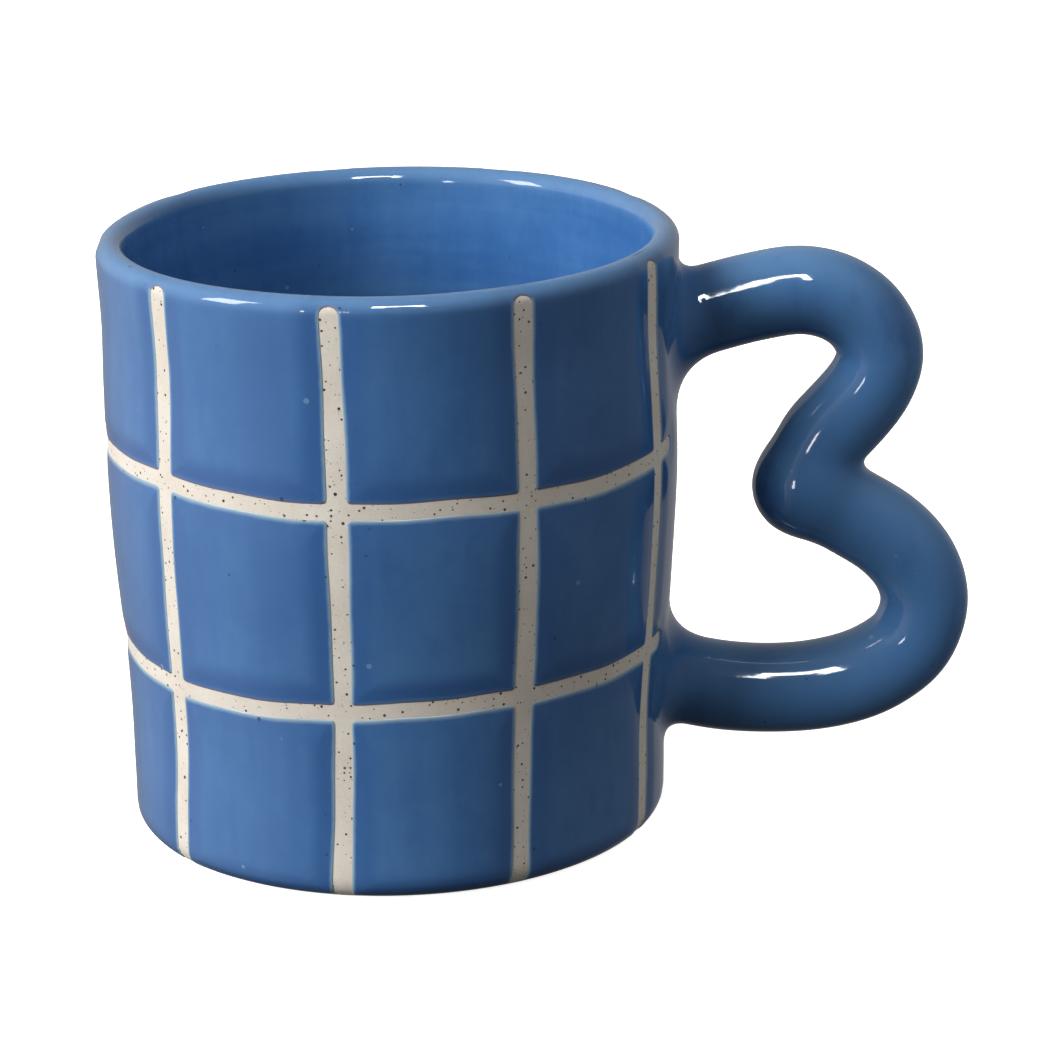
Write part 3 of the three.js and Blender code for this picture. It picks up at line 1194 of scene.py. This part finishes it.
class Wire:
    """A node's output that Python's operators work on."""

    def __init__(self, bench: "Bench", socket: bpy.types.NodeSocket) -> None:
        """Wraps a socket of a material.

        Args:
            bench: Where new nodes are added.
            socket: The output.
        """
        self.bench = bench
        self.socket = socket

    def math(self, operation: str, other: "Wire | float") -> "Wire":
        """Adds a Math node that takes this output first."""
        return self.bench.node("Math", {"operation": operation}, {0: self, 1: other})

    def __add__(self, other: "Wire | float") -> "Wire":
        """Sum."""
        return self.math("ADD", other)

    __radd__ = __add__

    def __sub__(self, other: "Wire | float") -> "Wire":
        """Difference."""
        return self.math("SUBTRACT", other)

    def __rsub__(self, other: float) -> "Wire":
        """Difference from a number."""
        return self.bench.node("Math", {"operation": "SUBTRACT"}, {0: other, 1: self})

    def __mul__(self, other: "Wire | float") -> "Wire":
        """Product."""
        return self.math("MULTIPLY", other)

    __rmul__ = __mul__

    def __truediv__(self, other: "Wire | float") -> "Wire":
        """Quotient."""
        return self.math("DIVIDE", other)

    def __lt__(self, other: "Wire | float") -> "Wire":
        """1 where smaller, and 0 elsewhere."""
        return self.math("LESS_THAN", other)

    def ease(self, low: float, high: float) -> "Wire":
        """Goes smoothly from 0 at low to 1 at high."""
        sockets = {"Value": self, "From Min": low, "From Max": high}
        return self.bench.node("MapRange", {"interpolation_type": "SMOOTHSTEP"}, sockets)


class Bench:
    """Makes the nodes of a material or of the surroundings."""

    def __init__(self, owner: bpy.types.Material | bpy.types.World) -> None:
        """Clears the owner's nodes.

        Args:
            owner: The material or the surroundings.
        """
        owner.use_nodes = True
        self.owner = owner
        self.tree = owner.node_tree
        self.tree.nodes.clear()

    @cached_property
    def place(self) -> Wire:
        """Object coordinates."""
        return self.node("TexCoord", {}, {}, "Object")

    def node(self, kind: str, settings: dict, sockets: dict, output: str | int = 0) -> Wire:
        """Adds a node.

        Args:
            kind: The node's type, without its first words, ShaderNode.
            settings: Its own settings, set first.
            sockets: Values or outputs for its inputs, by name or number.
            output: Which output to return.

        Returns:
            The output.
        """
        made = self.tree.nodes.new(f"ShaderNode{kind}")
        for key, value in settings.items():
            setattr(made, key, value)
        for key, value in sockets.items():
            if isinstance(value, Wire):
                self.tree.links.new(value.socket, made.inputs[key])
            else:
                made.inputs[key].default_value = value
        return Wire(self, made.outputs[output])

    def attribute(self, name: str) -> Wire:
        """Reads one number per vertex."""
        return self.node("Attribute", {"attribute_name": name}, {}, "Fac")

    def stretched(self, scale: tuple[float, float, float]) -> Wire:
        """Object coordinates, stretched."""
        return self.node("Mapping", {}, {"Vector": self.place, "Scale": scale})

    def noise(self, scale: float, detail: float, rough: float, place: Wire | None = None) -> Wire:
        """Noise of about 0 to 1, with that many features to a metre."""
        sockets = {"Vector": place or self.place, "Scale": scale, "Detail": detail, "Roughness": rough}
        return self.node("TexNoise", {}, sockets)

    def mix(self, share: Wire, first: Wire | Tint, second: Wire | Tint) -> Wire:
        """Mixes two colours."""
        colours = [tint if isinstance(tint, Wire) else (*tint, 1.0) for tint in (first, second)]
        return self.node("Mix", {"data_type": "RGBA"}, {0: share, 6: colours[0], 7: colours[1]}, 2)

    def specks(self, per_metre: float, size: float, share: float, seed: float) -> Wire:
        """Round specks of random size, one at most in each cell.

        Args:
            per_metre: Cells to a metre.
            size: Largest radius of a speck, as a share of a cell.
            share: How many of the cells have a speck.
            seed: Shifts the cells.

        Returns:
            1 in a speck and 0 elsewhere.
        """
        ends = {0: self.place, 1: (seed, seed, seed)}
        shift = self.node("VectorMath", {"operation": "ADD"}, ends)
        cells = {"Vector": shift, "Scale": per_metre, "Randomness": 1.0}
        near = self.node("TexVoronoi", {}, cells, "Distance")
        tint = self.node("TexVoronoi", {}, cells, "Color")
        parts = self.node("SeparateColor", {}, {0: tint}, 0)
        chance = self.node("SeparateColor", {}, {0: tint}, 1)
        radius = parts * parts * size + size * 0.18
        return (radius - near).ease(0.0, size * 0.25) * (chance < share)

    def end(self, kind: str, sockets: dict) -> bpy.types.Material | bpy.types.World:
        """Ends the nodes with a shader on the output.

        Args:
            kind: The shader's type.
            sockets: Values or outputs for its inputs.

        Returns:
            The material or the surroundings.
        """
        shader = self.node(kind, {}, sockets)
        home = "Material" if isinstance(self.owner, bpy.types.Material) else "World"
        end = self.tree.nodes.new(f"ShaderNodeOutput{home}")
        self.tree.links.new(shader.socket, end.inputs["Surface"])
        return self.owner

    def surface(self, colour: Wire | tuple, roughness: Wire | float, others: dict) -> bpy.types.Material:
        """Ends a material with a Principled surface."""
        return self.end("BsdfPrincipled", {"Base Color": colour, "Roughness": roughness, **others})

    def bump(self, strength: float, distance: float, height: Wire) -> Wire:
        """Tilts the surface by a height."""
        return self.node("Bump", {}, {"Strength": strength, "Distance": distance, "Height": height})


@dataclass(frozen=True)
class BlueGlaze:
    """Glossy blue glaze, mottled and streaky, paler where thin and deeper where it pools, with painted
    light: a brighter blue and a paler top on the handle, and lighter upper and darker lower edges on the
    films.
    """

    body: Tint = (0.033, 0.101, 0.256)
    milky: Tint = (0.048, 0.130, 0.292)
    pooled: Tint = (0.025, 0.078, 0.218)
    # a brighter copy of the blue for the handle: painted light
    coil: Tint = (0.066, 0.192, 0.420)
    # paler blue where the glaze runs thin, and painted light on the handle's top
    thin: Tint = (0.095, 0.190, 0.335)
    # pale edge where thin glaze shows the clay; on a film's upper edges it is also painted light
    halo: Tint = (0.240, 0.335, 0.380)
    # painted shade with a painted reflection of the clay, along a film's lower edges
    painted_edge_shading: Tint = (0.130, 0.115, 0.150)
    speck: Tint = (0.020, 0.030, 0.050)
    pale: Tint = (0.200, 0.300, 0.430)
    gloss: float = 0.055
    name: str = "blue_glaze_fired"
    streaky: float = 0.40
    throwing: float = 0.0

    def material(self) -> bpy.types.Material:
        """Makes the material.

        Returns:
            The material, which reads the attributes edge, edge_below, thin and away.
        """
        bench = Bench(bpy.data.materials.new(self.name))
        edge, edge_below, thin, away = (bench.attribute(name) for name in ("edge", "edge_below", "thin", "away"))
        streaks = bench.noise(85, 4, 0.6, bench.stretched((1, 1, 0.22)))
        hairs = bench.noise(330, 3, 0.6, bench.stretched((1, 1, 0.12)))
        clouds = bench.noise(42, 3, 0.55)
        fine = bench.noise(420, 3, 0.6)
        rings = bench.noise(150, 3, 0.6, bench.stretched((0.06, 0.06, 1)))
        cloudy = 0.75 - self.streaky - self.throwing
        milk = streaks * self.streaky + rings * self.throwing + clouds * cloudy + hairs * 0.13 + fine * 0.12
        milk = milk.ease(0.38, 0.64)
        colour = bench.mix(milk, self.body, self.milky)
        blotches = bench.noise(75, 5, 0.7, bench.stretched((1, 1, 0.6))).ease(0.52, 0.74)
        # Painted light: on the handle the blue is mixed towards a brighter copy, standing in for light the
        # handle lacks.
        colour = bench.mix(away * 0.42, colour, self.coil)
        colour = bench.mix(blotches * (0.4 + 0.35 * away), colour, self.pooled)
        pool = (edge.ease(0.2, 1.0) * (1 - edge.ease(1.6, 5.0))) * (0.62 + 0.25 * edge_below)
        colour = bench.mix(pool * (0.5 + 0.8 * clouds), colour, self.pooled)
        # Paler where the glaze has run thin; on the handle's top this is painted light from above.
        colour = bench.mix(thin * (0.55 + 0.4 * fine), colour, self.thin)
        # Edge tint: pale thin glaze, painted lighter on upper edges as painted light and darker on lower
        # edges as painted shade.
        reach = 0.42 + 0.36 * fine - 0.12 * edge_below
        halo = 1 - (edge / reach).ease(0.0, 1.2)
        painted_edge_shading = bench.mix(edge_below.ease(0.2, 0.8), self.halo, self.painted_edge_shading)
        colour = bench.mix(halo * 0.8, colour, painted_edge_shading)
        near_edge = 1 - edge.ease(0.3, 2.2)
        dark = bench.specks(300, 0.085, 0.30, 3.1) * 0.65
        dark = dark + bench.specks(640, 0.20, 0.50, 9.4) * near_edge * 0.8
        colour = bench.mix(dark, colour, self.speck)
        colour = bench.mix(bench.specks(260, 0.11, 0.30, 7.7) * 0.40, colour, self.pale)
        waves = bench.noise(95, 2, 0.5) * 0.5 + bench.noise(620, 2, 0.5) * 0.03 + rings * self.throwing
        pits = bench.specks(420, 0.06, 0.12, 12.9)
        bump = bench.bump(0.35, 0.0006, waves - pits * 0.12)
        gloss = self.gloss + 0.03 * clouds + 0.25 * halo
        return bench.surface(colour, gloss, {"IOR": 1.58, "Normal": bump})


@dataclass(frozen=True)
class BareClay:
    """Matte pale stoneware with dark specks of many sizes."""

    body: Tint = (0.535, 0.500, 0.445)
    warm: Tint = (0.480, 0.432, 0.370)
    black: Tint = (0.030, 0.025, 0.022)
    brown: Tint = (0.200, 0.140, 0.100)
    grey: Tint = (0.380, 0.340, 0.300)

    def material(self) -> bpy.types.Material:
        """Makes the material.

        Returns:
            The material.
        """
        bench = Bench(bpy.data.materials.new("bare_clay_fired"))
        cloud = bench.noise(120, 4, 0.6)
        grain = bench.noise(2600, 3, 0.65)
        colour = bench.mix((cloud * 0.6 + grain * 0.4).ease(0.35, 0.7), self.body, self.warm)
        layers = (
            (2600, 0.26, 0.40, 1.3, self.grey, 0.50),
            (2000, 0.26, 0.35, 5.9, self.brown, 0.80),
            (1500, 0.32, 0.55, 9.4, self.black, 0.95),
            (1000, 0.25, 0.50, 2.2, self.black, 1.0),
        )
        dents: Wire | float = 0.0
        for per_metre, size, share, seed, tint, strength in layers:
            specks = bench.specks(per_metre, size, share, seed)
            colour = bench.mix(specks * strength, colour, tint)
            dents = specks * 0.3 + dents
        height = grain * 0.6 + bench.noise(700, 2, 0.5) * 0.8 - dents
        bump = bench.bump(0.5, 0.00012, height)
        return bench.surface(colour, 0.82 + 0.1 * cloud, {"IOR": 1.45, "Normal": bump})


# ---------------------------------------------------------------- the studio


class Role(Enum):
    """What a lamp is for."""

    HIGHLIGHT = "a highlight on the glaze"
    FILL = "light on the surfaces, without a highlight"


@dataclass(frozen=True)
class Lamp:
    """A panel of light that faces the mug, with its angles in degrees as seen from there."""

    name: str
    azimuth: float  # from the front towards the handle's side
    elevation: float
    wide: float
    tall: float
    radiance: float  # of its face, against a white surface in full light
    role: Role


@dataclass
class Studio:
    """A pale floor, soft lamps and the camera."""

    lens: float = 139.5
    camera_place: tuple[float, float, float] = (0.0, -0.59954, 0.23126)
    yaw: float = 2.0
    pitch: float = 17.335
    roll: float = -1.08
    lamp_distance: float = 1.6
    floor_tint: Tint = (0.86, 0.86, 0.86)
    floor_glow: float = 0.85
    room_tint: Tint = (1.0, 0.97, 0.95)
    surround: float = 0.075
    left_wall: tuple[float, float] = (0.35, 0.95)
    left_glow: float = 0.64
    back_wall: tuple[float, float] = (0.35, 0.95)
    back_glow: float = 0.30
    right_wall: tuple[float, float] = (0.2, 0.95)
    right_glow: float = 0.06
    overhead_strength: float = 0.66
    overhead_spread: float = 50.0
    lamps: tuple[Lamp, ...] = (
        Lamp("front_bar", 5, 51, 17, 8, 24, Role.HIGHLIGHT),
        Lamp("front_foot_left", -5.5, 46, 4, 12, 24, Role.HIGHLIGHT),
        Lamp("front_foot_right", 15.5, 46, 4, 12, 24, Role.HIGHLIGHT),
        Lamp("left_strip", -70, 30, 15, 24, 11, Role.HIGHLIGHT),
        Lamp("low_strip", -29, 8.5, 4, 10, 13, Role.HIGHLIGHT),
        Lamp("left_box", -62, 30, 36, 38, 13.5, Role.FILL),
        Lamp("right_box", 72, 30, 60, 50, 1.2, Role.FILL),
    )

    def camera(self) -> None:
        """Puts the camera at its place."""
        yaw, pitch, roll = (math.radians(a) for a in (self.yaw, self.pitch, self.roll))
        ahead = Vector((math.sin(yaw) * math.cos(pitch), math.cos(yaw) * math.cos(pitch), -math.sin(pitch)))
        right = ahead.cross(Vector((0, 0, 1))).normalized()
        up = right.cross(ahead)
        turned_right = right * math.cos(roll) + up * math.sin(roll)
        turned_up = up * math.cos(roll) - right * math.sin(roll)
        data = bpy.data.cameras.new("camera")
        data.lens = self.lens
        data.sensor_width = 36
        data.clip_start, data.clip_end = 0.01, 20
        camera = bpy.data.objects.new("camera", data)
        columns = Matrix((turned_right, turned_up, -ahead)).transposed()
        camera.matrix_world = Matrix.Translation(self.camera_place) @ columns.to_4x4()
        bpy.context.scene.collection.objects.link(camera)
        bpy.context.scene.camera = camera

    def panel(self, lamp: Lamp) -> None:
        """Adds a panel of light.

        Args:
            lamp: Where it is and how bright.
        """
        a, e = math.radians(lamp.azimuth), math.radians(lamp.elevation)
        middle = Vector((math.sin(a) * math.cos(e), -math.cos(a) * math.cos(e), math.sin(e)))
        data = bpy.data.lights.new(lamp.name, "AREA")
        data.shape = "RECTANGLE"
        data.size, data.size_y = (
            2 * self.lamp_distance * math.tan(math.radians(angle / 2)) for angle in (lamp.wide, lamp.tall)
        )
        data.energy = lamp.radiance * math.pi * data.size * data.size_y
        panel = bpy.data.objects.new(lamp.name, data)
        panel.location = middle * self.lamp_distance + Vector((0, 0, 0.05))
        panel.rotation_mode = "QUATERNION"
        panel.rotation_quaternion = middle.to_track_quat("Z", "Y")
        panel.visible_diffuse = lamp.role is Role.FILL
        panel.visible_glossy = lamp.role is Role.HIGHLIGHT
        bpy.context.scene.collection.objects.link(panel)

    def overhead(self) -> None:
        """Adds wide light from straight above, for the floor."""
        data = bpy.data.lights.new("overhead", "SUN")
        data.energy = self.overhead_strength
        data.angle = math.radians(self.overhead_spread)
        lamp = bpy.data.objects.new("overhead", data)
        lamp.visible_glossy = False
        bpy.context.scene.collection.objects.link(lamp)

    def floor(self) -> None:
        """Lays a plain pale floor."""
        deselect()
        bpy.ops.mesh.primitive_plane_add(size=8, location=(0, 0, 0))
        floor = bpy.context.object
        floor.name = "floor"
        bench = Bench(bpy.data.materials.new("floor_paint"))
        glow = {"Emission Color": (1, 1, 1, 1), "Emission Strength": self.floor_glow}
        floor.data.materials.append(bench.surface((*self.floor_tint, 1), 0.9, glow))
        floor.visible_glossy = False
        floor.visible_diffuse = False

    def world(self) -> None:
        """Makes the surroundings: white to look at, and a dim grey room as light."""
        world = bpy.data.worlds.new("studio")
        bpy.context.scene.world = world
        bench = Bench(world)
        look = bench.node("TexCoord", {}, {}, "Generated")
        parts = [bench.node("SeparateXYZ", {}, {0: look}, axis) for axis in range(3)]
        left = (0.0 - parts[0]).ease(*self.left_wall)
        right = parts[0].ease(*self.right_wall)
        behind = parts[1].ease(*self.back_wall)
        below = (0.0 - parts[2]).ease(0.0, 0.6)
        bright = self.surround + self.left_glow * left + self.right_glow * right + self.back_glow * behind
        bright = bright * (1.0 - 0.35 * below)
        room = bench.node("Background", {}, {"Color": (*self.room_tint, 1), "Strength": bright})
        white = bench.node("Background", {}, {"Color": (1, 1, 1, 1), "Strength": 1.0})
        path = bench.node("LightPath", {}, {}, "Is Camera Ray")
        bench.end("MixShader", {0: path, 1: room, 2: white})

    def build(self) -> None:
        """Sets up the whole studio."""
        bpy.context.scene.view_settings.view_transform = "Standard"
        self.camera()
        self.floor()
        self.world()
        for lamp in self.lamps:
            self.panel(lamp)
        self.overhead()


# ---------------------------------------------------------------- the whole mug


def dress(piece: Piece, finish: bpy.types.Material) -> None:
    """Gives a piece its finish in its material slot, and its body.

    Args:
        piece: The piece.
        finish: Its material.
    """
    piece.data.materials.clear()
    piece.data.materials.append(finish)
    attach(piece, "root")
    log.info("%s: %d faces", piece.name, len(piece.data.polygons))


def main() -> None:
    """Builds the studio and the mug, piece by piece."""
    logging.basicConfig(level=logging.INFO, format="%(name)s: %(message)s")
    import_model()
    Studio().build()

    cup = CupShape()
    outline = Outline(cup)
    lines = LineGrid()
    glaze, clay = BlueGlaze().material(), BareClay().material()
    inside_glaze = BlueGlaze(
        name="blue_glaze_liner",
        body=(0.027, 0.096, 0.265),
        milky=(0.054, 0.146, 0.325),
        streaky=0.1,
        throwing=0.4,
    ).material()

    dress(ClayCup(cup, outline).build(), clay)
    rim = RimFilm(cup, outline, lines)
    dress(rim.build(), glaze)
    dress(Liner(cup, outline, lines).build(rim.columns), inside_glaze)
    for panel in Panels(cup, outline, lines).build():
        dress(panel, glaze)
    handle = HandleFilm(cup)
    dress(handle.build_coil(), clay)
    dress(handle.build(), glaze)


if __name__ == "__main__":
    main()
